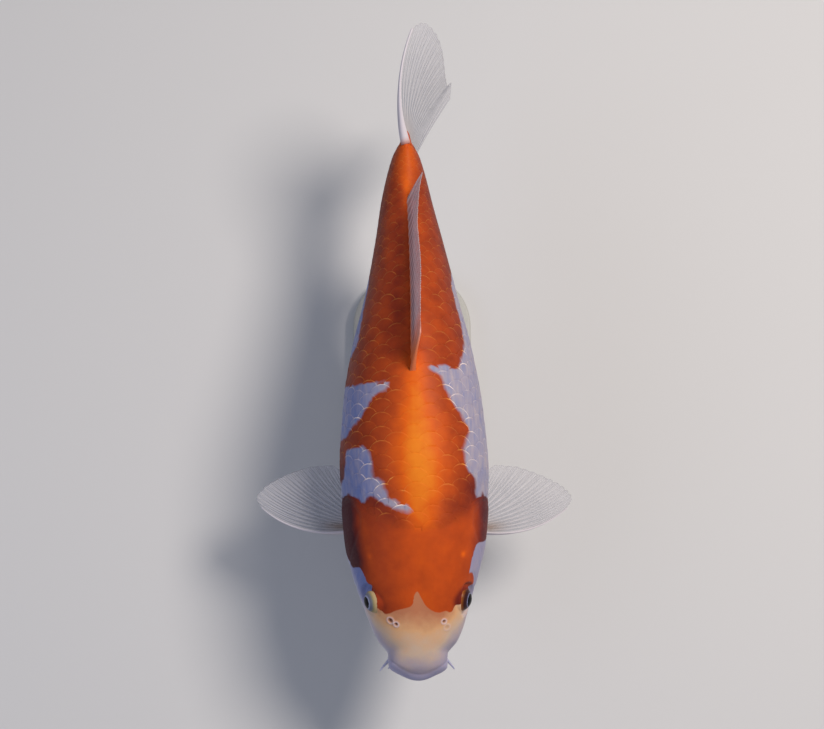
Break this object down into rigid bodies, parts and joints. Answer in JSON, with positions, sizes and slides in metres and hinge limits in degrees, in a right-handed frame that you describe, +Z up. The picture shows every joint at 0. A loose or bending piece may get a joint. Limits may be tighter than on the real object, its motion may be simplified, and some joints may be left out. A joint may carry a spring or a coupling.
{
  "type": "koi carp model",
  "caption": "Life-size koi carp, white with orange-red markings, swimming level on a plain flat base with short rods.",
  "frame": {"origin": "centre of the underside of the stand's base", "axes": "+Z up, +Y along the fish towards its tail, +X towards the fish's left side"},
  "size_m": [0.2091, 0.428, 0.2096],
  "materials": {
    "skin": "wet, glossy, orange-red over white",
    "barbel": "wet, soft gloss",
    "eye": "clear and glossy over a black pupil",
    "fin": "translucent, soft gloss",
    "stand_paint": "satin powder coat",
    "stand_rod": "brushed"
  },
  "bodies": {
    "root": {"head": "skin", "upper_lip": "skin", "lower_lip": "skin", "gill_cover_left": "skin", "gill_cover_right": "skin", "trunk_front": "skin", "trunk_rear": "skin", "tail_stalk": "skin", "barbel_corner_left": "barbel", "barbel_corner_right": "barbel", "barbel_lip_left": "barbel", "barbel_lip_right": "barbel", "eye_left": "eye", "eye_right": "eye", "dorsal_fin": "fin", "tail_fin": "fin", "anal_fin": "fin", "pectoral_fin_left": "fin", "pectoral_fin_right": "fin", "pelvic_fin_left": "fin", "pelvic_fin_right": "fin", "stand_base": "stand_paint", "stand_rod_front": "stand_rod", "stand_rod_rear": "stand_rod"}
  },
  "joints": []
}
